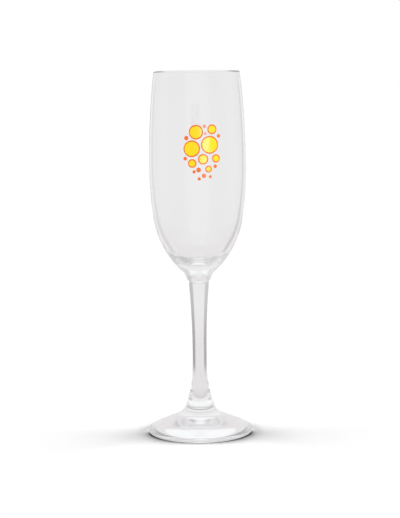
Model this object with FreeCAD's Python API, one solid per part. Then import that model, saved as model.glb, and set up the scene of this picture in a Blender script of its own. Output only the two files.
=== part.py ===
import FreeCAD, Part
import math
import os

# A pressed and blown champagne flute, in millimetres.
# Origin: centre of the resting plane. +Z is up, the printed face looks along -Y.
# Bowl, stem and foot are three gathers of glass fused end to end on flat weld faces.
# Outlines live in the XZ half plane and are written as (radius, height) pairs.

# Stacked heights: foot, then stem, then bowl.
FOOT_HEIGHT = 15.5
STEM_LENGTH = 71.5
BOWL_HEIGHT = 119.0

# Weld faces.
FOOT_WELD_RADIUS = 8.1
BOWL_WELD_RADIUS = 5.3

# Foot. Heights are measured up from the resting plane.
FOOT_RADIUS = 29.8
FOOT_EDGE_ROUND = 1.5
FOOT_EDGE_UP = 1.7
FOOT_BRIM_WIDTH = 4.8
FOOT_BRIM_UP = 5.2
COLLAR_SPREAD = 5.6
COLLAR_UP = 10.0
COLLAR_START_SLOPE = 25.0
REST_INSET = 3.8
REST_WIDTH = 1.5
UNDERSIDE_RISE = 5.2

# Stem. Heights are measured up from the foot weld.
STEM_WAIST_RADIUS = 4.0
STEM_WAIST_UP = 24.5
STEM_WAIST_LENGTH = 8.0
STEM_HEAD_RADIUS = 5.7
STEM_HEAD_ROUND = 0.7

# Bowl, outside. Heights are measured up from the bowl weld.
BOWL_RADIUS = 27.25
BOWL_WIDEST_UP = 66.0
RIM_TUCK = 3.15
BELLY_TUCK = 1.99
BELLY_UP = 37.0
NECK_RADIUS = 9.0
NECK_UP = 5.9
BOSS_RADIUS = 7.0
BOSS_UP = 2.6

# Bowl, inside. The walls thicken from the fire-polished rim to the belly.
RIM_WALL = 1.35
WIDEST_WALL = 1.75
BELLY_WALL = 2.35
BOWL_FLOOR = 11.2

# Fired enamel print: ring-edged dots rising like bubbles, in two colours that meet edge to edge.
PRINT_THICKNESS = 0.12
PRINT_TURN = 5.3
PRINT_MIDDLE_UP = 75.2
RING_WIDTH = 0.7
PRINT_GRIP = 2.0

# Each dot: distance round the bowl from the print's centre line, height from its middle, radius.
RINGED_DOTS = (
    (-5.6, 2.2, 4.6),
    (4.4, 4.2, 4.9),
    (-3.2, 11.2, 4.0),
    (5.9, 12.6, 2.7),
    (0.6, -3.6, 2.9),
    (7.9, -3.3, 2.3),
    (-5.4, -5.8, 2.4),
    (3.6, -9.0, 1.9),
)
PLAIN_DOTS = (
    (-1.9, -9.4, 1.3),
    (-9.3, -3.2, 1.0),
    (9.7, 8.9, 1.0),
    (2.0, 10.3, 0.7),
    (1.0, -12.6, 1.2),
    (7.4, -7.6, 1.0),
    (-4.4, -10.4, 0.9),
    (-1.6, -14.3, 0.9),
    (4.6, -13.2, 0.8),
    (-8.6, 8.0, 1.2),
    (1.6, 14.3, 0.9),
)

stem_base = FOOT_HEIGHT
bowl_base = FOOT_HEIGHT + STEM_LENGTH
rim_height = bowl_base + BOWL_HEIGHT
rim_radius = BOWL_RADIUS - RIM_TUCK
belly_radius = BOWL_RADIUS - BELLY_TUCK
widest_height = bowl_base + BOWL_WIDEST_UP
belly_height = bowl_base + BELLY_UP


def at(point):
    """Place a (radius, height) pair in the XZ plane."""
    return FreeCAD.Vector(point[0], 0, point[1])


def straight(start, end):
    return Part.makeLine(at(start), at(end))


def arc_on_circle(start, end, centre):
    """The shorter arc from start to end about a known centre."""
    middle_r = (start[0] + end[0]) / 2 - centre[0]
    middle_z = (start[1] + end[1]) / 2 - centre[1]
    radius = math.hypot(start[0] - centre[0], start[1] - centre[1])
    stretch = radius / math.hypot(middle_r, middle_z)
    middle = (centre[0] + middle_r * stretch, centre[1] + middle_z * stretch)
    return Part.Arc(at(start), at(middle), at(end)).toShape()


def arc_leaving(start, heading, end):
    """Arc from start to end that leaves along the heading, and the heading it arrives with."""
    run = (end[0] - start[0], end[1] - start[1])
    normal = (-heading[1], heading[0])
    across = run[0] * normal[0] + run[1] * normal[1]
    bend = (run[0] ** 2 + run[1] ** 2) / (2 * across)
    centre = (start[0] + bend * normal[0], start[1] + bend * normal[1])
    arrival = ((centre[1] - end[1]) / bend, (end[0] - centre[0]) / bend)
    return arc_on_circle(start, end, centre), arrival


def touch_point(start, inward, centre, radius):
    """Arc from start, curving toward inward, that runs smoothly into a round: its far end and centre."""
    gap = (start[0] - centre[0], start[1] - centre[1])
    lean = gap[0] * inward[0] + gap[1] * inward[1]
    bend = (radius ** 2 - gap[0] ** 2 - gap[1] ** 2) / (2 * (lean + radius))
    bend_centre = (start[0] + bend * inward[0], start[1] + bend * inward[1])
    scale = bend / (bend - radius)
    far = (
        bend_centre[0] + scale * (centre[0] - bend_centre[0]),
        bend_centre[1] + scale * (centre[1] - bend_centre[1]),
    )
    return far, bend_centre


def smooth_join(start, start_heading, end, end_heading):
    """Where two arcs meet that carry one heading smoothly over into the other."""
    run = (end[0] - start[0], end[1] - start[1])
    along = sum(run[i] * (start_heading[i] + end_heading[i]) for i in (0, 1))
    turn = 1 - start_heading[0] * end_heading[0] - start_heading[1] * end_heading[1]
    chord = run[0] ** 2 + run[1] ** 2
    reach = (math.sqrt(along ** 2 + 2 * turn * chord) - along) / (2 * turn)
    return tuple(
        (start[i] + end[i] + reach * (start_heading[i] - end_heading[i])) / 2 for i in (0, 1)
    )


def upright_bend(widest, end):
    """Centre of the arc that is upright at the widest point and passes through the end point."""
    drop = widest[1] - end[1]
    inset = widest[0] - end[0]
    bend = (drop ** 2 + inset ** 2) / (2 * inset)
    return (widest[0] - bend, widest[1])


def down_the_side(widest, end):
    """The upright-bend arc from the widest point down to the end, with the heading it ends on."""
    centre = upright_bend(widest, end)
    bend = widest[0] - centre[0]
    heading = ((end[1] - centre[1]) / bend, (centre[0] - end[0]) / bend)
    return arc_on_circle(widest, end, centre), heading


def turned(edges):
    """Turn a closed outline round the Z axis."""
    face = Part.Face(Part.Wire(edges))
    return face.revolve(FreeCAD.Vector(0, 0, 0), FreeCAD.Vector(0, 0, 1), 360)


def make_foot():
    """Trumpet-shaped foot: collar flowing from the weld, sloping brim, rounded edge, hollow underside."""
    weld_centre = (0.0, FOOT_HEIGHT)
    weld_edge = (FOOT_WELD_RADIUS, FOOT_HEIGHT)
    collar = (FOOT_WELD_RADIUS + COLLAR_SPREAD, COLLAR_UP)
    brim = (FOOT_RADIUS - FOOT_BRIM_WIDTH, FOOT_BRIM_UP)
    edge_centre = (FOOT_RADIUS - FOOT_EDGE_ROUND, FOOT_EDGE_UP)
    rest_outer = (FOOT_RADIUS - REST_INSET, 0.0)
    rest_inner = (rest_outer[0] - REST_WIDTH, 0.0)
    underside_top = (0.0, UNDERSIDE_RISE)

    slope = math.radians(COLLAR_START_SLOPE)
    collar_arc, _ = arc_leaving(weld_edge, (math.sin(slope), -math.cos(slope)), collar)

    brim_run = math.hypot(brim[0] - collar[0], brim[1] - collar[1])
    brim_inward = ((brim[1] - collar[1]) / brim_run, (collar[0] - brim[0]) / brim_run)
    edge_top, brim_bend = touch_point(brim, brim_inward, edge_centre, FOOT_EDGE_ROUND)
    edge_low, rest_bend = touch_point(rest_outer, (0.0, 1.0), edge_centre, FOOT_EDGE_ROUND)

    dome_bend = (rest_inner[0] ** 2 + UNDERSIDE_RISE ** 2) / (2 * UNDERSIDE_RISE)
    dome_centre = (0.0, UNDERSIDE_RISE - dome_bend)
    return turned([
        straight(weld_centre, weld_edge),
        collar_arc,
        straight(collar, brim),
        arc_on_circle(brim, edge_top, brim_bend),
        arc_on_circle(edge_top, edge_low, edge_centre),
        arc_on_circle(edge_low, rest_outer, rest_bend),
        straight(rest_outer, rest_inner),
        arc_on_circle(rest_inner, underside_top, dome_centre),
        straight(underside_top, weld_centre),
    ])


def make_stem():
    """Solid stem: flares to the foot, keeps a short straight waist, widens slowly to a rounded head."""
    base_edge = (FOOT_WELD_RADIUS, stem_base)
    waist_low = (STEM_WAIST_RADIUS, stem_base + STEM_WAIST_UP)
    waist_high = (STEM_WAIST_RADIUS, waist_low[1] + STEM_WAIST_LENGTH)
    head = (STEM_HEAD_RADIUS, bowl_base - STEM_HEAD_ROUND)
    top_edge = (BOWL_WELD_RADIUS, bowl_base)

    flare_arc, _ = arc_leaving(waist_low, (0.0, -1.0), base_edge)
    taper_arc, taper_heading = arc_leaving(waist_high, (0.0, 1.0), head)
    head_arc, _ = arc_leaving(head, taper_heading, top_edge)
    return turned([
        straight((0.0, stem_base), base_edge),
        flare_arc,
        straight(waist_low, waist_high),
        taper_arc,
        head_arc,
        straight(top_edge, (0.0, bowl_base)),
        straight((0.0, bowl_base), (0.0, stem_base)),
    ])


def bowl_outside():
    """Outer outline from the lip down to the weld: tucked-in rim, widest point, belly, neck, boss."""
    weld_edge = (BOWL_WELD_RADIUS, bowl_base)
    boss = (BOSS_RADIUS, bowl_base + BOSS_UP)
    neck = (NECK_RADIUS, bowl_base + NECK_UP)
    belly = (belly_radius, belly_height)
    widest = (BOWL_RADIUS, widest_height)
    lip = (rim_radius, rim_height - RIM_WALL / 2)

    rim_arc = arc_on_circle(lip, widest, upright_bend(widest, lip))
    side_arc, belly_heading = down_the_side(widest, belly)
    belly_arc, neck_heading = arc_leaving(belly, belly_heading, neck)
    neck_arc, boss_heading = arc_leaving(neck, neck_heading, boss)
    boss_arc, _ = arc_leaving(boss, boss_heading, weld_edge)
    return [rim_arc, side_arc, belly_arc, neck_arc, boss_arc]


def bowl_inside():
    """Inner outline from the lip down to the bowl's rounded floor on the axis."""
    lip = (rim_radius - RIM_WALL, rim_height - RIM_WALL / 2)
    widest = (BOWL_RADIUS - WIDEST_WALL, widest_height)
    belly = (belly_radius - BELLY_WALL, belly_height)
    floor = (0.0, bowl_base + BOWL_FLOOR)

    rim_arc = arc_on_circle(lip, widest, upright_bend(widest, lip))
    side_arc, belly_heading = down_the_side(widest, belly)
    heel = smooth_join(belly, belly_heading, floor, (-1.0, 0.0))
    belly_arc, heel_heading = arc_leaving(belly, belly_heading, heel)
    floor_arc, _ = arc_leaving(heel, heel_heading, floor)
    return [rim_arc, side_arc, belly_arc, floor_arc]


def make_bowl():
    """Blown bowl: thin at the fire-polished lip, thick and solid below the floor."""
    lip_outer = (rim_radius, rim_height - RIM_WALL / 2)
    lip_top = (rim_radius - RIM_WALL / 2, rim_height)
    lip_inner = (rim_radius - RIM_WALL, rim_height - RIM_WALL / 2)
    lip_arc = Part.Arc(at(lip_outer), at(lip_top), at(lip_inner)).toShape()
    weld_centre = (0.0, bowl_base)
    floor = (0.0, bowl_base + BOWL_FLOOR)
    closing = [
        straight(floor, weld_centre),
        straight(weld_centre, (BOWL_WELD_RADIUS, bowl_base)),
    ]
    return turned(bowl_outside() + [lip_arc] + bowl_inside() + closing)


def wall_radius_at(centre, bend, height):
    """Radius of a wall, bent about a centre, at one height."""
    return centre[0] + math.sqrt(bend ** 2 - (height - centre[1]) ** 2)


def make_print_skin():
    """Thin coat that hugs the outside of the bowl over the height of the print."""
    widest = (BOWL_RADIUS, widest_height)
    low_centre = upright_bend(widest, (belly_radius, belly_height))
    high_centre = upright_bend(widest, (rim_radius, rim_height - RIM_WALL / 2))
    low_bend = BOWL_RADIUS - low_centre[0]
    high_bend = BOWL_RADIUS - high_centre[0]
    reach = max(abs(dot[1]) + dot[2] for dot in RINGED_DOTS + PLAIN_DOTS) + PRINT_GRIP
    middle = bowl_base + PRINT_MIDDLE_UP
    low = middle - reach
    high = middle + reach

    coat = PRINT_THICKNESS
    low_in = (wall_radius_at(low_centre, low_bend, low), low)
    high_in = (wall_radius_at(high_centre, high_bend, high), high)
    low_out = (wall_radius_at(low_centre, low_bend + coat, low), low)
    high_out = (wall_radius_at(high_centre, high_bend + coat, high), high)
    widest_out = (BOWL_RADIUS + coat, widest_height)
    return turned([
        arc_on_circle(low_in, widest, low_centre),
        arc_on_circle(widest, high_in, high_centre),
        straight(high_in, high_out),
        arc_on_circle(high_out, widest_out, high_centre),
        arc_on_circle(widest_out, low_out, low_centre),
        straight(low_out, low_in),
    ])


def punch(dot, radius):
    """Round cutter pointing straight at the bowl's axis through one dot of the print."""
    turn = math.radians(PRINT_TURN) + dot[0] / BOWL_RADIUS
    outward = FreeCAD.Vector(math.sin(turn), -math.cos(turn), 0)
    base = outward * (BOWL_RADIUS / 2)
    base.z = bowl_base + PRINT_MIDDLE_UP + dot[1]
    return Part.makeCylinder(radius, BOWL_RADIUS, base, outward)


def make_print_yellow(skin):
    """The filled dots."""
    return Part.makeCompound([
        skin.common(punch(dot, dot[2] - RING_WIDTH)) for dot in RINGED_DOTS
    ])


def make_print_orange(skin):
    """The rings round the filled dots, and the small plain dots."""
    rings = [
        skin.common(punch(dot, dot[2]).cut(punch(dot, dot[2] - RING_WIDTH)))
        for dot in RINGED_DOTS
    ]
    dots = [skin.common(punch(dot, dot[2])) for dot in PLAIN_DOTS]
    return Part.makeCompound(rings + dots)


def main():
    os.makedirs("parts", exist_ok=True)
    skin = make_print_skin()
    nodes = {
        "foot": make_foot(),
        "stem": make_stem(),
        "bowl": make_bowl(),
        "print_yellow": make_print_yellow(skin),
        "print_orange": make_print_orange(skin),
    }
    for name, shape in nodes.items():
        shape.exportStep("parts/" + name + ".step")


main()
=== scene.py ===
import math
import bpy
from mathutils import Matrix, Vector


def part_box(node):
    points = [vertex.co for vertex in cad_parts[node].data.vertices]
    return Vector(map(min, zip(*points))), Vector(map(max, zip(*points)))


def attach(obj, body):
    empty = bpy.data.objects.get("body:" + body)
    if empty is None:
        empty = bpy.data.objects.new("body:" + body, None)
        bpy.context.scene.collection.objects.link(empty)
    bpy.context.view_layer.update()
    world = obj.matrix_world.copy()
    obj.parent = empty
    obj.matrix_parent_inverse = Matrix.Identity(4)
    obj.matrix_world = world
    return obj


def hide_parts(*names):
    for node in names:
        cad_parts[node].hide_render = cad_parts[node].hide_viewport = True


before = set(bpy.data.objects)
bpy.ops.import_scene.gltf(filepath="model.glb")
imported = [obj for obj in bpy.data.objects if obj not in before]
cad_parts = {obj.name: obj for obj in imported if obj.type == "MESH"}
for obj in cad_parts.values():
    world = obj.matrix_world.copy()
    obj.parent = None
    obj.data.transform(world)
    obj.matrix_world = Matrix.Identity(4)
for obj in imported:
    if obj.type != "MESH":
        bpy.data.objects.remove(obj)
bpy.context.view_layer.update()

# A clear champagne flute: three turned glass bodies fused end to end, and a two-colour enamel print.
# Outlines are in millimetres, as (radius, height) pairs. Meshes are in metres, in the frame of the CAD.
MM = 0.001

_, foot_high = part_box("foot")
_, stem_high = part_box("stem")
bowl_low, bowl_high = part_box("bowl")
FOOT_RADIUS = foot_high[0] / MM
FOOT_HEIGHT = foot_high[2] / MM
FOOT_WELD_RADIUS = stem_high[0] / MM
BOWL_BASE = bowl_low[2] / MM
BOWL_RADIUS = bowl_high[0] / MM
RIM_HEIGHT = bowl_high[2] / MM

# Foot.
FOOT_EDGE_ROUND = 1.5
FOOT_EDGE_UP = 1.7
FOOT_BRIM_WIDTH = 4.8
FOOT_BRIM_UP = 5.2
COLLAR_SPREAD = 5.6
COLLAR_UP = 10.0
COLLAR_START_SLOPE = 25.0
REST_INSET = 3.8
REST_WIDTH = 1.5
UNDERSIDE_RISE = 5.2

# Stem. Heights are measured up from the foot weld.
STEM_WAIST_RADIUS = 4.0
STEM_WAIST_UP = 24.5
STEM_WAIST_LENGTH = 8.0
STEM_HEAD_RADIUS = 5.7
STEM_HEAD_ROUND = 0.7
BOWL_WELD_RADIUS = 5.3

# Bowl. Heights are measured up from the bowl weld.
BOWL_WIDEST_UP = 66.0
RIM_TUCK = 3.15
BELLY_TUCK = 1.99
BELLY_UP = 37.0
NECK_RADIUS = 9.0
NECK_UP = 5.9
BOSS_RADIUS = 7.0
BOSS_UP = 2.6
RIM_WALL = 1.35
WIDEST_WALL = 1.75
BELLY_WALL = 2.35
BOWL_FLOOR = 11.2

# Enamel print. Dots are (distance round the bowl from the centre line, height from the middle, radius).
PRINT_THICKNESS = 0.12
PRINT_GAP = 0.01
PRINT_TURN = 5.3
PRINT_MIDDLE_UP = 75.2
RING_WIDTH = 0.7
RINGED_DOTS = (
    (-5.6, 2.2, 4.6),
    (4.4, 4.2, 4.9),
    (-3.2, 11.2, 4.0),
    (5.9, 12.6, 2.7),
    (0.6, -3.6, 2.9),
    (7.9, -3.3, 2.3),
    (-5.4, -5.8, 2.4),
    (3.6, -9.0, 1.9),
)
PLAIN_DOTS = (
    (-1.9, -9.4, 1.3),
    (-9.3, -3.2, 1.0),
    (9.7, 8.9, 1.0),
    (2.0, 10.3, 0.7),
    (1.0, -12.6, 1.2),
    (7.4, -7.6, 1.0),
    (-4.4, -10.4, 0.9),
    (-1.6, -14.3, 0.9),
    (4.6, -13.2, 0.8),
    (-8.6, 8.0, 1.2),
    (1.6, 14.3, 0.9),
)

# How finely the turned bodies and the dots are divided.
TURN_STEPS = 240
ARC_STEP = math.radians(2.5)
RUN_STEP = 1.6
DOT_STEPS = 48

# A ring of points nearer the axis than this is a single point on it.
ON_AXIS = 1e-9

BELLY_RADIUS = BOWL_RADIUS - BELLY_TUCK
RIM_RADIUS = BOWL_RADIUS - RIM_TUCK
WIDEST_HEIGHT = BOWL_BASE + BOWL_WIDEST_UP
BELLY_HEIGHT = BOWL_BASE + BELLY_UP


# ---------------------------------------------------------------- outlines

def straight_points(start, end):
    """Points from start to end, without start."""
    steps = max(1, math.ceil(math.dist(start, end) / RUN_STEP))
    return [
        tuple(start[i] + (end[i] - start[i]) * k / steps for i in (0, 1))
        for k in range(1, steps + 1)
    ]


def arc_points(start, end, centre):
    """Points along the shorter arc about a centre, without start."""
    radius = math.dist(start, centre)
    first = math.atan2(start[1] - centre[1], start[0] - centre[0])
    sweep = math.atan2(end[1] - centre[1], end[0] - centre[0]) - first
    sweep = (sweep + math.pi) % (2 * math.pi) - math.pi
    steps = max(2, math.ceil(abs(sweep) / ARC_STEP), math.ceil(abs(sweep) * radius / RUN_STEP))
    inner = [first + sweep * k / steps for k in range(1, steps)]
    return [(centre[0] + radius * math.cos(a), centre[1] + radius * math.sin(a)) for a in inner] + [end]


def arc_leaving(start, heading, end):
    """Points of the arc that leaves along the heading, and the heading it arrives with."""
    run = (end[0] - start[0], end[1] - start[1])
    normal = (-heading[1], heading[0])
    across = run[0] * normal[0] + run[1] * normal[1]
    bend = (run[0] ** 2 + run[1] ** 2) / (2 * across)
    centre = (start[0] + bend * normal[0], start[1] + bend * normal[1])
    arrival = ((centre[1] - end[1]) / bend, (end[0] - centre[0]) / bend)
    return arc_points(start, end, centre), arrival


def touch_point(start, inward, centre, radius):
    """Arc from start, curving toward inward, that runs smoothly into a round: its far end and centre."""
    gap = (start[0] - centre[0], start[1] - centre[1])
    lean = gap[0] * inward[0] + gap[1] * inward[1]
    bend = (radius ** 2 - gap[0] ** 2 - gap[1] ** 2) / (2 * (lean + radius))
    bend_centre = (start[0] + bend * inward[0], start[1] + bend * inward[1])
    scale = bend / (bend - radius)
    return tuple(bend_centre[i] + scale * (centre[i] - bend_centre[i]) for i in (0, 1)), bend_centre


def smooth_join(start, start_heading, end, end_heading):
    """Where two arcs meet that carry one heading smoothly over into the other."""
    run = (end[0] - start[0], end[1] - start[1])
    along = sum(run[i] * (start_heading[i] + end_heading[i]) for i in (0, 1))
    turn = 1 - start_heading[0] * end_heading[0] - start_heading[1] * end_heading[1]
    chord = run[0] ** 2 + run[1] ** 2
    reach = (math.sqrt(along ** 2 + 2 * turn * chord) - along) / (2 * turn)
    return tuple((start[i] + end[i] + reach * (start_heading[i] - end_heading[i])) / 2 for i in (0, 1))


def upright_bend(widest, end):
    """Centre of the arc that is upright at the widest point and passes through the end point."""
    drop = widest[1] - end[1]
    inset = widest[0] - end[0]
    return (widest[0] - (drop ** 2 + inset ** 2) / (2 * inset), widest[1])


def down_the_side(widest, end):
    """Points of the upright-bend arc from the widest point down, and the heading it ends on."""
    centre = upright_bend(widest, end)
    bend = widest[0] - centre[0]
    return arc_points(widest, end, centre), ((end[1] - centre[1]) / bend, (centre[0] - end[0]) / bend)


def foot_outline():
    """Stretches of the foot's outline from the underside's middle, out over the edge, up to the weld."""
    weld_edge = (FOOT_WELD_RADIUS, FOOT_HEIGHT)
    collar = (FOOT_WELD_RADIUS + COLLAR_SPREAD, COLLAR_UP)
    brim = (FOOT_RADIUS - FOOT_BRIM_WIDTH, FOOT_BRIM_UP)
    edge_centre = (FOOT_RADIUS - FOOT_EDGE_ROUND, FOOT_EDGE_UP)
    rest_outer = (FOOT_RADIUS - REST_INSET, 0.0)
    rest_inner = (rest_outer[0] - REST_WIDTH, 0.0)
    underside_top = (0.0, UNDERSIDE_RISE)
    slope = math.radians(COLLAR_START_SLOPE)
    brim_run = math.dist(brim, collar)
    brim_inward = ((brim[1] - collar[1]) / brim_run, (collar[0] - brim[0]) / brim_run)
    edge_top, brim_bend = touch_point(brim, brim_inward, edge_centre, FOOT_EDGE_ROUND)
    edge_low, rest_bend = touch_point(rest_outer, (0.0, 1.0), edge_centre, FOOT_EDGE_ROUND)
    dome_bend = (rest_inner[0] ** 2 + UNDERSIDE_RISE ** 2) / (2 * UNDERSIDE_RISE)
    over = [weld_edge] + arc_leaving(weld_edge, (math.sin(slope), -math.cos(slope)), collar)[0]
    over += straight_points(collar, brim) + arc_points(brim, edge_top, brim_bend)
    over += arc_points(edge_top, edge_low, edge_centre) + arc_points(edge_low, rest_outer, rest_bend)
    under = [underside_top] + arc_points(underside_top, rest_inner, (0.0, UNDERSIDE_RISE - dome_bend))
    return [under, straight_points(rest_inner, rest_outer), over[-2::-1]]


def stem_outline():
    """The stem's side from the foot weld up to the bowl weld."""
    base_edge = (FOOT_WELD_RADIUS, FOOT_HEIGHT)
    waist_low = (STEM_WAIST_RADIUS, FOOT_HEIGHT + STEM_WAIST_UP)
    waist_high = (STEM_WAIST_RADIUS, waist_low[1] + STEM_WAIST_LENGTH)
    head = (STEM_HEAD_RADIUS, BOWL_BASE - STEM_HEAD_ROUND)
    flare = arc_leaving(waist_low, (0.0, -1.0), base_edge)[0]
    taper, taper_heading = arc_leaving(waist_high, (0.0, 1.0), head)
    rounded = arc_leaving(head, taper_heading, (BOWL_WELD_RADIUS, BOWL_BASE))[0]
    return [flare[::-1] + [waist_low] + straight_points(waist_low, waist_high) + taper + rounded]


def bowl_outline():
    """The bowl from the weld up the outside, over the lip, and down the inside to the floor."""
    weld_edge = (BOWL_WELD_RADIUS, BOWL_BASE)
    boss = (BOSS_RADIUS, BOWL_BASE + BOSS_UP)
    neck = (NECK_RADIUS, BOWL_BASE + NECK_UP)
    belly = (BELLY_RADIUS, BELLY_HEIGHT)
    widest = (BOWL_RADIUS, WIDEST_HEIGHT)
    lip_height = RIM_HEIGHT - RIM_WALL / 2
    lip = (RIM_RADIUS, lip_height)
    side, belly_heading = down_the_side(widest, belly)
    belly_arc, neck_heading = arc_leaving(belly, belly_heading, neck)
    neck_arc, boss_heading = arc_leaving(neck, neck_heading, boss)
    boss_arc = arc_leaving(boss, boss_heading, weld_edge)[0]
    outside = arc_points(lip, widest, upright_bend(widest, lip)) + side + belly_arc + neck_arc + boss_arc

    inner_lip = (RIM_RADIUS - RIM_WALL, lip_height)
    inner_widest = (BOWL_RADIUS - WIDEST_WALL, WIDEST_HEIGHT)
    inner_belly = (BELLY_RADIUS - BELLY_WALL, BELLY_HEIGHT)
    floor = (0.0, BOWL_BASE + BOWL_FLOOR)
    inner_side, inner_heading = down_the_side(inner_widest, inner_belly)
    heel = smooth_join(inner_belly, inner_heading, floor, (-1.0, 0.0))
    belly_inside, heel_heading = arc_leaving(inner_belly, inner_heading, heel)
    inside = arc_points(inner_lip, inner_widest, upright_bend(inner_widest, inner_lip))
    inside += inner_side + belly_inside + arc_leaving(heel, heel_heading, floor)[0]

    top = (RIM_RADIUS - RIM_WALL / 2, RIM_HEIGHT)
    lip_centre = (top[0], lip_height)
    over_lip = [lip] + arc_points(lip, top, lip_centre) + arc_points(top, inner_lip, lip_centre)
    return [outside[::-1] + over_lip + inside]


def wall_radius(height):
    """Outer radius of the bowl's side at a height, near its widest point."""
    widest = (BOWL_RADIUS, WIDEST_HEIGHT)
    above = height > WIDEST_HEIGHT
    end = (RIM_RADIUS, RIM_HEIGHT - RIM_WALL / 2) if above else (BELLY_RADIUS, BELLY_HEIGHT)
    centre = upright_bend(widest, end)
    bend = BOWL_RADIUS - centre[0]
    return centre[0] + math.sqrt(bend ** 2 - (height - centre[1]) ** 2)


# ---------------------------------------------------------------- meshes

def new_object(name, vertices, faces):
    mesh = bpy.data.meshes.new(name)
    mesh.from_pydata(vertices, [], faces)
    mesh.validate()
    mesh.update()
    made = bpy.data.objects.new(name, mesh)
    bpy.context.scene.collection.objects.link(made)
    return made


def turned_body(name, stretches, weld_low=None, weld_high=None):
    """Closed turned body. Each stretch is smooth; edges between stretches and round welds are sharp.

    weld_low and weld_high close the first and last ring with flat faces in material slot 1.
    """
    vertices = []
    faces = []
    sharp_rings = []
    weld_faces = set()
    rings = []
    for number, stretch in enumerate(stretches):
        for point in stretch:
            rings.append(point)
        if number < len(stretches) - 1:
            sharp_rings.append(len(rings) - 1)
    ring_starts = []
    for radius, height in rings:
        ring_starts.append(len(vertices))
        if radius < ON_AXIS:
            vertices.append((0.0, 0.0, height * MM))
            continue
        for k in range(TURN_STEPS):
            angle = 2 * math.pi * k / TURN_STEPS
            vertices.append((radius * math.cos(angle) * MM, radius * math.sin(angle) * MM, height * MM))
    for i in range(len(rings) - 1):
        here, there = ring_starts[i], ring_starts[i + 1]
        for k in range(TURN_STEPS):
            k2 = (k + 1) % TURN_STEPS
            if rings[i + 1][0] < ON_AXIS:
                faces.append((here + k, here + k2, there))
            elif rings[i][0] < ON_AXIS:
                faces.append((here, there + k2, there + k))
            else:
                faces.append((here + k, here + k2, there + k2, there + k))
    for ring, height in ((0, weld_low), (len(rings) - 1, weld_high)):
        if height is None:
            continue
        start = ring_starts[ring]
        weld_faces.add(len(faces))
        loop = [start + k for k in range(TURN_STEPS)]
        faces.append(tuple(loop if ring else loop[::-1]))
        sharp_rings.append(ring)
    made = new_object(name, vertices, faces)
    mesh = made.data
    mesh.shade_smooth()
    if sharp_rings:
        sharp_starts = {ring_starts[i] for i in sharp_rings}
        for edge in mesh.edges:
            a, b = sorted(edge.vertices)
            for start in sharp_starts:
                if start <= a and b < start + TURN_STEPS:
                    edge.use_edge_sharp = True
    for index in weld_faces:
        mesh.polygons[index].use_smooth = False
        mesh.polygons[index].material_index = 1
    return made


# ---------------------------------------------------------------- enamel dots

# The coat's edge is round: rows of points this far in from it, and filling rows by share of the radius.
EDGE_ROUND = 0.16
EDGE_ROWS = (0.03, 0.08, EDGE_ROUND)
FRONT_ROWS = (0.8, 0.6, 0.4, 0.2)
BACK_ROWS = (0.75, 0.5, 0.25)
FRONT_ROW_CLEAR = 0.05


def on_bowl(around, up, lift):
    """Point on the bowl's outside, at a distance round and up from the print's middle, lifted off it."""
    height = BOWL_BASE + PRINT_MIDDLE_UP + up
    angle = math.radians(PRINT_TURN) + around / BOWL_RADIUS
    radius = wall_radius(height) + lift
    return (radius * math.sin(angle) * MM, -radius * math.cos(angle) * MM, height * MM)


def coat_lift(inset):
    """Height of the coat a little way in from its edge: the ink's edge is round."""
    if inset >= EDGE_ROUND:
        return PRINT_THICKNESS
    rest = 1 - inset / EDGE_ROUND
    return PRINT_THICKNESS * math.sqrt(1 - rest * rest)


def disc_coat(dot, outer, free_edge):
    """Vertices and faces of one filled dot. free_edge rounds its rim down to the glass."""
    around, up, _ = dot
    levels = [outer] + [outer - inset for inset in EDGE_ROWS]
    levels += [outer * f for f in FRONT_ROWS if outer * f < levels[-1] - FRONT_ROW_CLEAR]
    vertices = []
    faces = []
    for level, radius in enumerate([outer] + levels):
        if level == 0:
            lift = PRINT_GAP
        else:
            lift = coat_lift(outer - radius) if free_edge else PRINT_THICKNESS
            lift = max(lift, 2 * PRINT_GAP)
        for k in range(DOT_STEPS):
            angle = 2 * math.pi * k / DOT_STEPS
            vertices.append(on_bowl(around + radius * math.cos(angle), up + radius * math.sin(angle), lift))
    count = len(levels) + 1
    for level in range(count - 1):
        for k in range(DOT_STEPS):
            k2 = (k + 1) % DOT_STEPS
            here, there = level * DOT_STEPS, (level + 1) * DOT_STEPS
            faces.append((here + k, here + k2, there + k2, there + k))
    top = len(vertices)
    vertices.append(on_bowl(around, up, PRINT_THICKNESS))
    last = (count - 1) * DOT_STEPS
    faces += [(last + k, last + (k + 1) % DOT_STEPS, top) for k in range(DOT_STEPS)]
    start = len(vertices)
    back_levels = [outer * f for f in BACK_ROWS]
    for radius in back_levels:
        for k in range(DOT_STEPS):
            angle = 2 * math.pi * k / DOT_STEPS
            vertices.append(
                on_bowl(around + radius * math.cos(angle), up + radius * math.sin(angle), PRINT_GAP)
            )
    rows = [0] + [start + i * DOT_STEPS for i in range(len(back_levels))]
    for a, b in zip(rows, rows[1:]):
        for k in range(DOT_STEPS):
            k2 = (k + 1) % DOT_STEPS
            faces.append((a + k2, a + k, b + k, b + k2))
    bottom = len(vertices)
    vertices.append(on_bowl(around, up, PRINT_GAP))
    faces += [(rows[-1] + (k + 1) % DOT_STEPS, rows[-1] + k, bottom) for k in range(DOT_STEPS)]
    return vertices, faces


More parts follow.
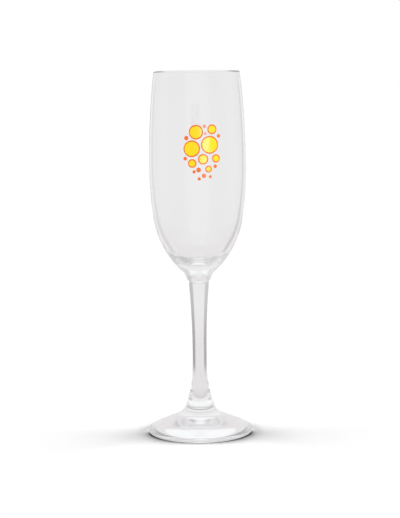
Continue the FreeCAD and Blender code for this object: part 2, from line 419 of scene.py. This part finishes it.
def ring_coat(dot):
    """Vertices and faces of one ring: rounded outer edge, square inner edge against the filled dot."""
    around, up, outer = dot
    inner = outer - RING_WIDTH
    profile = [(outer, PRINT_GAP), (outer, 2 * PRINT_GAP)]
    profile += [(outer - inset, coat_lift(inset)) for inset in EDGE_ROWS]
    profile += [(inner, PRINT_THICKNESS), (inner, PRINT_GAP)]
    vertices = []
    faces = []
    for radius, lift in profile:
        for k in range(DOT_STEPS):
            angle = 2 * math.pi * k / DOT_STEPS
            vertices.append(on_bowl(around + radius * math.cos(angle), up + radius * math.sin(angle), lift))
    count = len(profile)
    for row in range(count):
        a, b = row * DOT_STEPS, (row + 1) % count * DOT_STEPS
        for k in range(DOT_STEPS):
            k2 = (k + 1) % DOT_STEPS
            faces.append((a + k, a + k2, b + k2, b + k))
    return vertices, faces


def coat_object(name, parts):
    vertices = []
    faces = []
    for part_vertices, part_faces in parts:
        offset = len(vertices)
        vertices += part_vertices
        faces += [tuple(offset + i for i in face) for face in part_faces]
    made = new_object(name, vertices, faces)
    made.data.shade_smooth()
    return made


# ---------------------------------------------------------------- materials

GLASS_IOR = 1.52
SMEAR_SCALE = 90.0

# Each glass: its tint face on, and the painted shade at its outline (dark edges standing in for refraction),
# where that shade starts and is full (0 is face on, 1 edge on), its share by height, the surface's waves,
# and the most haze.
GLASS_LOOKS = {
    "bowl": dict(
        clear=(0.995, 0.994, 0.995), edge=(0.40, 0.40, 0.42), edge_shade_from=0.78, edge_shade_to=0.98,
        edge_shade_by_height=(
            (BOWL_BASE, 0.3), (100, 0.5), (115, 1.0), (196, 1.0), (203, 0.1), (RIM_HEIGHT, 0.0),
        ),
        wave_size=22, wave_depth=0.008, haze=0.01,
    ),
    "stem": dict(
        clear=(0.97, 0.962, 0.966), edge=(0.28, 0.27, 0.28), edge_shade_from=0.17, edge_shade_to=0.27,
        edge_shade_by_height=(
            (FOOT_HEIGHT, 0.0), (30, 0.06), (42, 0.85), (52, 0.85), (BOWL_BASE, 0.40),
        ),
        wave_size=16, wave_depth=0.02, haze=0.01,
    ),
    "foot": dict(
        clear=(0.98, 0.97, 0.98), edge=(0.80, 0.80, 0.82), edge_shade_from=0.75, edge_shade_to=0.95,
        edge_shade_by_height=((0.0, 1.0), (FOOT_HEIGHT, 1.0)),
        wave_size=14, wave_depth=0.02, haze=0.02,
    ),
}

ENAMEL_IOR = 1.6
ENAMEL_ROUGH = (0.16, 0.24)
MOTTLE_SCALE = 1500.0
GRAIN_SCALE = 2500.0
GRAIN_DEPTH = 0.01


def node_material(name):
    material = bpy.data.materials.new(name)
    material.use_nodes = True
    nodes = material.node_tree.nodes
    nodes.clear()
    output = nodes.new("ShaderNodeOutputMaterial")
    return material, nodes, material.node_tree.links, output


def wired(nodes, links, kind, operation, *inputs):
    """A maths node of one operation, fed by sockets or plain values."""
    node = nodes.new(kind)
    node.operation = operation
    for socket, value in zip(node.inputs, inputs):
        if isinstance(value, bpy.types.NodeSocket):
            links.new(value, socket)
        else:
            socket.default_value = value
    return node


def maths(nodes, links, operation, *inputs):
    """Socket with the result of one maths step."""
    return wired(nodes, links, "ShaderNodeMath", operation, *inputs).outputs["Value"]


def map_range(nodes, links, value, before, after, smooth=False):
    """Socket with a value mapped from one range to another, and held at its ends."""
    node = nodes.new("ShaderNodeMapRange")
    node.interpolation_type = "SMOOTHSTEP" if smooth else "LINEAR"
    node.inputs["From Min"].default_value, node.inputs["From Max"].default_value = before
    node.inputs["To Min"].default_value, node.inputs["To Max"].default_value = after
    links.new(value, node.inputs["Value"])
    return node.outputs["Result"]


def tone_ramp(nodes, links, value, stops):
    """Socket with a tone read off smooth stops of (position, grey or colour), from position 0 to 1."""
    node = nodes.new("ShaderNodeValToRGB")
    node.color_ramp.interpolation = "EASE"
    for position, _ in stops[1:-1]:
        node.color_ramp.elements.new(position)
    for element, (_, tone) in zip(node.color_ramp.elements, stops):
        element.color = (*tone, 1) if isinstance(tone, tuple) else (tone, tone, tone, 1)
    links.new(value, node.inputs["Fac"])
    return node.outputs["Color"]


def glass_material(name, clear, edge, edge_shade_from, edge_shade_to, edge_shade_by_height, wave_size, wave_depth, haze):
    """Clear glass: a tint with a painted shade that darkens it toward its outline, slow waves in the
    surface, faint haze.

    The by-height list gives (height in millimetres, share of the painted edge shade there).
    """
    material, nodes, links, output = node_material(name)
    glass = nodes.new("ShaderNodeBsdfPrincipled")
    glass.inputs["Transmission Weight"].default_value = 1.0
    glass.inputs["IOR"].default_value = GLASS_IOR

    place = nodes.new("ShaderNodeTexCoord")
    facing = nodes.new("ShaderNodeLayerWeight")
    facing.inputs["Blend"].default_value = 0.5
    outline = map_range(nodes, links, facing.outputs["Facing"], (edge_shade_from, edge_shade_to), (0.0, 1.0))
    split = nodes.new("ShaderNodeSeparateXYZ")
    links.new(place.outputs["Object"], split.inputs["Vector"])
    lowest, highest = edge_shade_by_height[0][0], edge_shade_by_height[-1][0]
    up = map_range(nodes, links, split.outputs["Z"], (lowest * MM, highest * MM), (0.0, 1.0))
    share = tone_ramp(nodes, links, up, [
        ((height - lowest) / (highest - lowest), tone) for height, tone in edge_shade_by_height
    ])
    depth = maths(nodes, links, "MULTIPLY", outline, share)
    # Painted shade: the glass colour darkens toward its outline and by height, standing in for the dark
    # edges of refraction.
    tint_and_edge_shade = nodes.new("ShaderNodeMix")
    tint_and_edge_shade.data_type = "RGBA"
    tint_and_edge_shade.inputs["A"].default_value = (*clear, 1)
    tint_and_edge_shade.inputs["B"].default_value = (*edge, 1)
    links.new(depth, tint_and_edge_shade.inputs["Factor"])
    links.new(tint_and_edge_shade.outputs["Result"], glass.inputs["Base Color"])

    wave = nodes.new("ShaderNodeTexNoise")
    wave.inputs["Scale"].default_value = 1 / (wave_size * MM)
    wave.inputs["Detail"].default_value = 1.0
    links.new(place.outputs["Object"], wave.inputs["Vector"])
    bump = nodes.new("ShaderNodeBump")
    bump.inputs["Strength"].default_value = 1.0
    bump.inputs["Distance"].default_value = wave_depth * MM
    links.new(wave.outputs["Fac"], bump.inputs["Height"])
    links.new(bump.outputs["Normal"], glass.inputs["Normal"])

    smear = nodes.new("ShaderNodeTexNoise")
    smear.inputs["Scale"].default_value = SMEAR_SCALE
    smear.inputs["Detail"].default_value = 4.0
    links.new(place.outputs["Object"], smear.inputs["Vector"])
    rough = map_range(nodes, links, smear.outputs["Fac"], (0.35, 0.75), (0.0, haze))
    links.new(rough, glass.inputs["Roughness"])
    links.new(glass.outputs["BSDF"], output.inputs["Surface"])
    return material


def fused_material():
    """A weld inside the glass: heat has made both sides one, so nothing shows there."""
    material, nodes, links, output = node_material("fused_joint")
    clear = nodes.new("ShaderNodeBsdfTransparent")
    links.new(clear.outputs["BSDF"], output.inputs["Surface"])
    return material


def enamel_material(name, colour, deep):
    """Fired enamel: strong pigment with a little mottle, fine grain in the gloss, a glassy top."""
    material, nodes, links, output = node_material(name)
    coat = nodes.new("ShaderNodeBsdfPrincipled")
    coat.inputs["IOR"].default_value = ENAMEL_IOR
    place = nodes.new("ShaderNodeTexCoord")
    mottle = nodes.new("ShaderNodeTexNoise")
    mottle.inputs["Scale"].default_value = MOTTLE_SCALE
    mottle.inputs["Detail"].default_value = 3.0
    links.new(place.outputs["Object"], mottle.inputs["Vector"])
    shade = nodes.new("ShaderNodeMix")
    shade.data_type = "RGBA"
    shade.inputs["A"].default_value = (*deep, 1)
    shade.inputs["B"].default_value = (*colour, 1)
    links.new(map_range(nodes, links, mottle.outputs["Fac"], (0.3, 0.5), (0.0, 1.0)), shade.inputs["Factor"])
    links.new(shade.outputs["Result"], coat.inputs["Base Color"])
    rough = map_range(nodes, links, mottle.outputs["Fac"], (0.3, 0.7), ENAMEL_ROUGH)
    links.new(rough, coat.inputs["Roughness"])
    grain = nodes.new("ShaderNodeTexNoise")
    grain.inputs["Scale"].default_value = GRAIN_SCALE
    links.new(place.outputs["Object"], grain.inputs["Vector"])
    bump = nodes.new("ShaderNodeBump")
    bump.inputs["Strength"].default_value = 0.3
    bump.inputs["Distance"].default_value = GRAIN_DEPTH * MM
    links.new(grain.outputs["Fac"], bump.inputs["Height"])
    links.new(bump.outputs["Normal"], coat.inputs["Normal"])
    links.new(coat.outputs["BSDF"], output.inputs["Surface"])
    return material


# ---------------------------------------------------------------- the flute

fused = fused_material()
for piece, node in (
    (turned_body("glass_bowl", bowl_outline(), weld_low=BOWL_BASE), "bowl"),
    (turned_body("glass_stem", stem_outline(), weld_low=FOOT_HEIGHT, weld_high=BOWL_BASE), "stem"),
    (turned_body("glass_foot", foot_outline(), weld_high=FOOT_HEIGHT), "foot"),
):
    piece.data.materials.append(glass_material(node + "_glass", **GLASS_LOOKS[node]))
    piece.data.materials.append(fused)
    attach(piece, "root")
    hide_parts(node)

enamel = bpy.data.collections.new("enamel")
yellow_parts = [disc_coat(dot, dot[2] - RING_WIDTH, False) for dot in RINGED_DOTS]
orange_parts = [ring_coat(dot) for dot in RINGED_DOTS]
orange_parts += [disc_coat(dot, dot[2], True) for dot in PLAIN_DOTS]
for name, parts, node, slot, colour, deep in (
    ("enamel_dots_yellow", yellow_parts, "print_yellow", "enamel_yellow",
     (0.99, 0.71, 0.002), (0.95, 0.65, 0.002)),
    ("enamel_rings_orange", orange_parts, "print_orange", "enamel_orange",
     (0.88, 0.165, 0.018), (0.80, 0.135, 0.012)),
):
    piece = coat_object(name, parts)
    piece.data.materials.append(enamel_material(slot, colour, deep))
    enamel.objects.link(piece)
    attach(piece, "root")
    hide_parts(node)


# ---------------------------------------------------------------- stage, light and camera

WHITE = 1.0
PAPER = 1.0
FLOOR_HALF = 4.0

# What shows through the glass. The table glows by distance from the flute, in metres: painted light under
# the foot, then a painted shadow of the foot, then pale grey. The backdrop by height above the horizon, up
# to the bright ceiling. Both are darker off to the left and right, by the share of the compass direction
# along X.
PAINTED_TABLE_TONES = (
    (0.0, (0.98, 1.0, 1.0)), (0.027, (0.98, 1.0, 1.0)), (0.031, (0.45, 0.45, 0.46)),
    (0.037, (0.74, 0.73, 0.74)), (0.05, (0.82, 0.80, 0.81)), (0.25, (0.84, 0.82, 0.83)),
    (0.45, (0.87, 0.86, 0.87)), (0.65, (0.89, 0.885, 0.89)), (1.0, (0.89, 0.885, 0.89)),
)
BACKDROP_TONES = (
    (0.0, (0.885, 0.88, 0.885)), (0.10, (0.875, 0.87, 0.875)), (0.18, (0.81, 0.79, 0.80)),
    (0.45, (0.81, 0.79, 0.80)), (0.60, (0.98, 1.0, 1.0)), (1.0, (0.98, 1.0, 1.0)),
)
SIDES_FROM, SIDES_TO = 0.44, 0.60
SIDES_LEFT, SIDES_RIGHT = 0.80, 0.70
SIDES_NEAR, SIDES_FAR = 0.10, 0.16

# What the glass mirrors: a dim room in front and a pale backdrop behind, changing over along compass Y.
ROOM_GREY, BACK_GREY = 0.25, 0.80
ROOM_TO, BACK_FROM = -0.55, 0.3

# What lights the scene: two long low lights left and right, a little behind. Each is full within a share
# of its half width, and fades in and out past its low and high edges.
SIDE_LIGHT = 15.0
SIDE_LIGHT_BACK = math.radians(14)
SIDE_LIGHT_HALF = math.radians(26)
SIDE_LIGHT_FULL = 0.6
SIDE_LIGHT_LOW, SIDE_LIGHT_HIGH = math.sin(math.radians(9)), math.sin(math.radians(27))
FADE_BELOW, FADE_ABOVE = 0.7, 1.25

# A soft fill, brighter in front and low down. The ranges are compass Y and the direction's Z.
FILL_FRONT, FILL_TOP = 0.8, 0.10
FILL_FRONT_RANGE = (-0.2, -0.8)
FILL_LOW_RANGE = (0.4, 0.7)

# Painted contact shadow: how far it reaches, in metres, how deep it is, and its range of compass Y.
CONTACT_REACH, CONTACT_DEPTH = 0.03, 3.0
CONTACT_RANGE = (0.1, -0.3)

# The lamp that only the enamel sees: metres, watts, turn to the right of the front, rise per unit away.
LAMP_WIDTH, LAMP_TALL, LAMP_POWER = 0.55, 1.2, 10.5
LAMP_TURN, LAMP_RISE, LAMP_AWAY = math.radians(18), 0.12, 1.5

CAMERA_PLACE = (0.0008, -0.900, 0.223)
CAMERA_PITCH = math.radians(7.781)
CAMERA_ROLL = math.radians(0.65)
CAMERA_LENS = 111.26
CAMERA_REACH = 20

# Light circles many times inside thick glass before it comes out.
GLASS_BOUNCES = 96


def ray_mix(nodes, links, light_path, ray, inside, outside):
    """Colour that is inside for one kind of ray and outside for the others."""
    mix = nodes.new("ShaderNodeMix")
    mix.data_type = "RGBA"
    mix.clamp_factor = False
    links.new(light_path.outputs[ray], mix.inputs[0])
    for socket, value in ((mix.inputs[6], outside), (mix.inputs[7], inside)):
        if isinstance(value, bpy.types.NodeSocket):
            links.new(value, socket)
        else:
            socket.default_value = (value, value, value, 1)
    return mix.outputs[2]


def shaded(nodes, links, tone, share):
    """A tone times a share, as a colour."""
    return wired(nodes, links, "ShaderNodeVectorMath", "MULTIPLY", tone, share).outputs["Vector"]


def compass(nodes, links, vector):
    """X and Y of the unit direction over the table, from a place or a direction."""
    flat = wired(nodes, links, "ShaderNodeVectorMath", "MULTIPLY", vector, (1, 1, 0))
    unit = wired(nodes, links, "ShaderNodeVectorMath", "NORMALIZE", flat.outputs["Vector"])
    split = nodes.new("ShaderNodeSeparateXYZ")
    links.new(unit.outputs["Vector"], split.inputs["Vector"])
    return split.outputs["X"], split.outputs["Y"]


def seen_through(nodes, links, x):
    """Brightness by compass direction as it shows through the glass."""
    left = map_range(nodes, links, x, (-SIDES_TO, -SIDES_FROM), (SIDES_LEFT, 1.0), smooth=True)
    right = map_range(nodes, links, x, (SIDES_FROM, SIDES_TO), (1.0, SIDES_RIGHT), smooth=True)
    return maths(nodes, links, "MULTIPLY", left, right)


def seen_mirrored(nodes, links, y):
    """Brightness by compass direction as it shows mirrored in the glass."""
    return map_range(nodes, links, y, (ROOM_TO, BACK_FROM), (ROOM_GREY, BACK_GREY), smooth=True)


def contact_shadow(nodes, links, x, y):
    """Tone of the paper: a painted shadow from ambient occlusion, deeper close to the foot on the left and
    right of its front half.
    """
    near = nodes.new("ShaderNodeAmbientOcclusion")
    near.inputs["Distance"].default_value = CONTACT_REACH
    front = map_range(nodes, links, y, CONTACT_RANGE, (0.0, CONTACT_DEPTH), smooth=True)
    depth = maths(nodes, links, "MULTIPLY", maths(nodes, links, "MULTIPLY", x, x), front)
    tone = maths(nodes, links, "POWER", near.outputs["AO"], depth)
    return maths(nodes, links, "MULTIPLY", tone, PAPER)


def make_floor():
    """Pale table. The camera sees white paper with the flute's cast shadow, deepened by a painted shadow;
    the glass sees the table glow in painted tones.
    """
    corners = [(x * FLOOR_HALF, y * FLOOR_HALF, 0) for x, y in ((-1, -1), (1, -1), (1, 1), (-1, 1))]
    floor = new_object("stage_floor", corners, [(0, 1, 2, 3)])
    material, nodes, links, output = node_material("stage_paper")
    path = nodes.new("ShaderNodeLightPath")
    paper = nodes.new("ShaderNodeBsdfDiffuse")

    place = nodes.new("ShaderNodeTexCoord")
    x, y = compass(nodes, links, place.outputs["Object"])
    # Painted shadow: the paper's colour darkens beside the foot, on top of the shadow that the side lights
    # cast.
    links.new(contact_shadow(nodes, links, x, y), paper.inputs["Color"])
    reach = wired(nodes, links, "ShaderNodeVectorMath", "LENGTH", place.outputs["Object"])
    tone = tone_ramp(nodes, links, reach.outputs["Value"], PAINTED_TABLE_TONES)
    beyond = map_range(
        nodes, links, reach.outputs["Value"], (SIDES_NEAR, SIDES_FAR), (0.0, 1.0), smooth=True
    )
    sides = nodes.new("ShaderNodeMix")
    sides.data_type = "FLOAT"
    sides.inputs["A"].default_value = 1.0
    links.new(beyond, sides.inputs["Factor"])
    links.new(seen_through(nodes, links, x), sides.inputs["B"])
    through = shaded(nodes, links, tone, sides.outputs["Result"])
    value = ray_mix(nodes, links, path, "Is Glossy Ray", seen_mirrored(nodes, links, y), WHITE)
    value = ray_mix(nodes, links, path, "Is Transmission Ray", through, value)
    # For rays from the glass the table is not lit: it glows, with painted light under the foot and a painted
    # shadow round it.
    glow = nodes.new("ShaderNodeEmission")
    links.new(value, glow.inputs["Color"])
    either = nodes.new("ShaderNodeMixShader")
    links.new(path.outputs["Is Camera Ray"], either.inputs[0])
    links.new(glow.outputs["Emission"], either.inputs[1])
    links.new(paper.outputs["BSDF"], either.inputs[2])
    links.new(either.outputs["Shader"], output.inputs["Surface"])
    floor.data.materials.append(material)


def light_falling(nodes, links, x, y, z):
    """Light by direction: the two low side lights over a fill that is brighter low in front."""
    across = maths(nodes, links, "ABSOLUTE", x)
    across = maths(nodes, links, "MULTIPLY", across, math.cos(SIDE_LIGHT_BACK))
    near = maths(nodes, links, "MULTIPLY_ADD", y, math.sin(SIDE_LIGHT_BACK), across)
    edge, full = math.cos(SIDE_LIGHT_HALF), math.cos(SIDE_LIGHT_HALF * SIDE_LIGHT_FULL)
    wide = map_range(nodes, links, near, (edge, full), (0.0, SIDE_LIGHT), smooth=True)
    low_edge = (SIDE_LIGHT_LOW * FADE_BELOW, SIDE_LIGHT_LOW)
    high_edge = (SIDE_LIGHT_HIGH, SIDE_LIGHT_HIGH * FADE_ABOVE)
    above = map_range(nodes, links, z, low_edge, (0.0, 1.0), smooth=True)
    below = map_range(nodes, links, z, high_edge, (1.0, 0.0), smooth=True)
    strips = maths(nodes, links, "MULTIPLY", wide, maths(nodes, links, "MULTIPLY", above, below))
    front = map_range(nodes, links, y, FILL_FRONT_RANGE, (0.0, 1.0), smooth=True)
    low = map_range(nodes, links, z, FILL_LOW_RANGE, (1.0, 0.0), smooth=True)
    share = maths(nodes, links, "MULTIPLY", front, low)
    fill = maths(nodes, links, "MULTIPLY_ADD", share, FILL_FRONT - FILL_TOP, FILL_TOP)
    return maths(nodes, links, "ADD", strips, fill)


def make_world():
    """Soft studio light. The camera sees plain white; the glass sees the studio's tones."""
    world = bpy.data.worlds.new("studio")
    bpy.context.scene.world = world
    world.use_nodes = True
    nodes = world.node_tree.nodes
    links = world.node_tree.links
    nodes.clear()
    output = nodes.new("ShaderNodeOutputWorld")
    sky = nodes.new("ShaderNodeBackground")
    path = nodes.new("ShaderNodeLightPath")
    place = nodes.new("ShaderNodeTexCoord")
    split = nodes.new("ShaderNodeSeparateXYZ")
    links.new(place.outputs["Generated"], split.inputs["Vector"])
    x, y = compass(nodes, links, place.outputs["Generated"])
    light = light_falling(nodes, links, x, y, split.outputs["Z"])
    value = ray_mix(nodes, links, path, "Is Glossy Ray", seen_mirrored(nodes, links, y), light)
    tone = tone_ramp(nodes, links, split.outputs["Z"], BACKDROP_TONES)
    behind = shaded(nodes, links, tone, seen_through(nodes, links, x))
    value = ray_mix(nodes, links, path, "Is Transmission Ray", behind, value)
    value = ray_mix(nodes, links, path, "Is Camera Ray", WHITE, value)
    links.new(value, sky.inputs["Color"])
    links.new(sky.outputs["Background"], output.inputs["Surface"])


def make_enamel_lamp():
    """Soft window-like lamp that lights the enamel only, and gives it one broad upright highlight."""
    data = bpy.data.lights.new("enamel_lamp", "AREA")
    data.shape = "RECTANGLE"
    data.size, data.size_y = LAMP_WIDTH, LAMP_TALL
    data.energy = LAMP_POWER
    lamp = bpy.data.objects.new("enamel_lamp", data)
    aim = Vector((0, 0, (BOWL_BASE + PRINT_MIDDLE_UP) * MM))
    away = Vector((math.sin(LAMP_TURN), -math.cos(LAMP_TURN), LAMP_RISE))
    lamp.location = aim + LAMP_AWAY * away
    lamp.rotation_euler = away.to_track_quat("Z", "Y").to_euler()
    lamp.light_linking.receiver_collection = enamel
    bpy.context.scene.collection.objects.link(lamp)


def make_camera():
    """Far, slightly raised, looking a little down; rolled a touch, as the glass leans in the frame."""
    ahead = Vector((0, math.cos(CAMERA_PITCH), -math.sin(CAMERA_PITCH)))
    level_right = Vector((1, 0, 0))
    level_up = level_right.cross(ahead)
    right = math.cos(CAMERA_ROLL) * level_right - math.sin(CAMERA_ROLL) * level_up
    up = math.cos(CAMERA_ROLL) * level_up + math.sin(CAMERA_ROLL) * level_right
    data = bpy.data.cameras.new("camera")
    data.lens = CAMERA_LENS
    data.clip_end = CAMERA_REACH
    camera = bpy.data.objects.new("camera", data)
    turn = Matrix((right, up, -ahead)).transposed()
    camera.matrix_world = Matrix.Translation(CAMERA_PLACE) @ turn.to_4x4()
    bpy.context.scene.collection.objects.link(camera)
    bpy.context.scene.camera = camera


make_floor()
make_world()
make_enamel_lamp()
make_camera()
bpy.context.scene.view_settings.view_transform = "Standard"

bounces = bpy.context.scene.cycles
bounces.max_bounces = bounces.glossy_bounces = bounces.transmission_bounces = GLASS_BOUNCES
